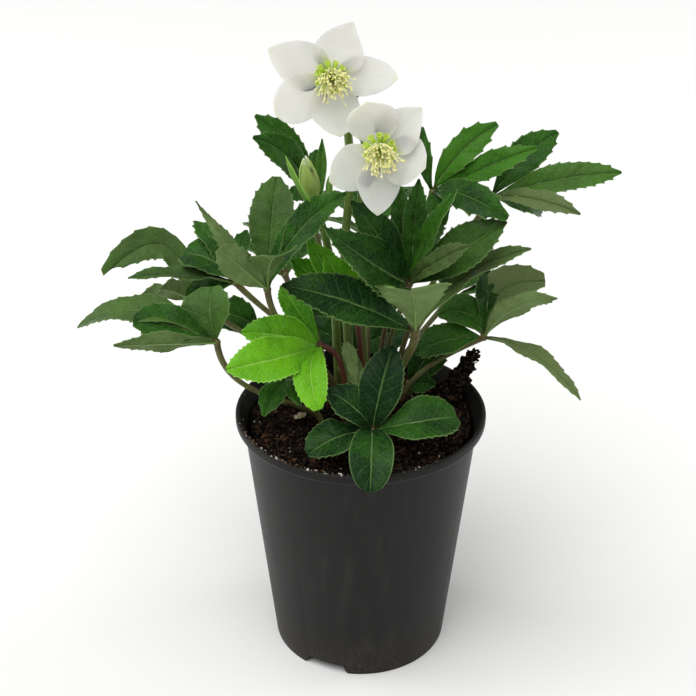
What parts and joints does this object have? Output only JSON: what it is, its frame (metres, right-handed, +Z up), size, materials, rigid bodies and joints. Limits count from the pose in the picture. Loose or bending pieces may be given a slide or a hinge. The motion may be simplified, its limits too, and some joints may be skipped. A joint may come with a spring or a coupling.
{
  "type": "potted hellebore plant",
  "caption": "Flowering hellebore with two open white blooms, a bud and leathery toothed leaves, growing in a plain round nursery pot.",
  "frame": {"origin": "middle of the bottom of the whole object's box, level with the foot of the pot", "axes": "+Z up along the axis of the pot; -Y towards the side that both blooms face"},
  "size_m": [0.297, 0.2278, 0.3628],
  "materials": {
    "pot_plastic": "satin",
    "peat": "rough peat with specks of perlite",
    "leaf": "leathery and half glossy",
    "young_leaf": "soft satin",
    "stem": "smooth satin",
    "tepal": "soft matt",
    "nectary": "waxy",
    "stamen": "matt pollen"
  },
  "bodies": {
    "root": {"leaf_left_tall": "leaf", "leaf_left_rear": "leaf", "leaf_left_low": "leaf", "leaf_left_drooping": "leaf", "leaf_young_front": "young_leaf", "leaf_young_rear": "young_leaf", "leaf_middle": "leaf", "leaf_front": "leaf", "leaf_right_low": "leaf", "leaf_upper_right": "leaf", "leaf_right_tall": "leaf", "leaf_rosette": "leaf", "leaf_small_front": "leaf", "leaf_upper_left": "leaf", "leaf_small_left": "leaf", "leaf_small_right": "leaf", "leaf_small_middle": "leaf", "leaf_back_left": "leaf", "leaf_back_middle": "leaf", "leaf_back_right": "leaf", "leaf_back_low": "leaf", "scape_high": "stem", "bloom_high_tepals": "tepal", "bloom_high_nectaries": "nectary", "bloom_high_stamens": "stamen", "scape_low": "stem", "bloom_low_tepals": "tepal", "bloom_low_nectaries": "nectary", "bloom_low_stamens": "stamen", "scape_bud": "stem", "bud_tepals": "tepal", "pot": "pot_plastic", "soil": "peat"}
  },
  "joints": []
}
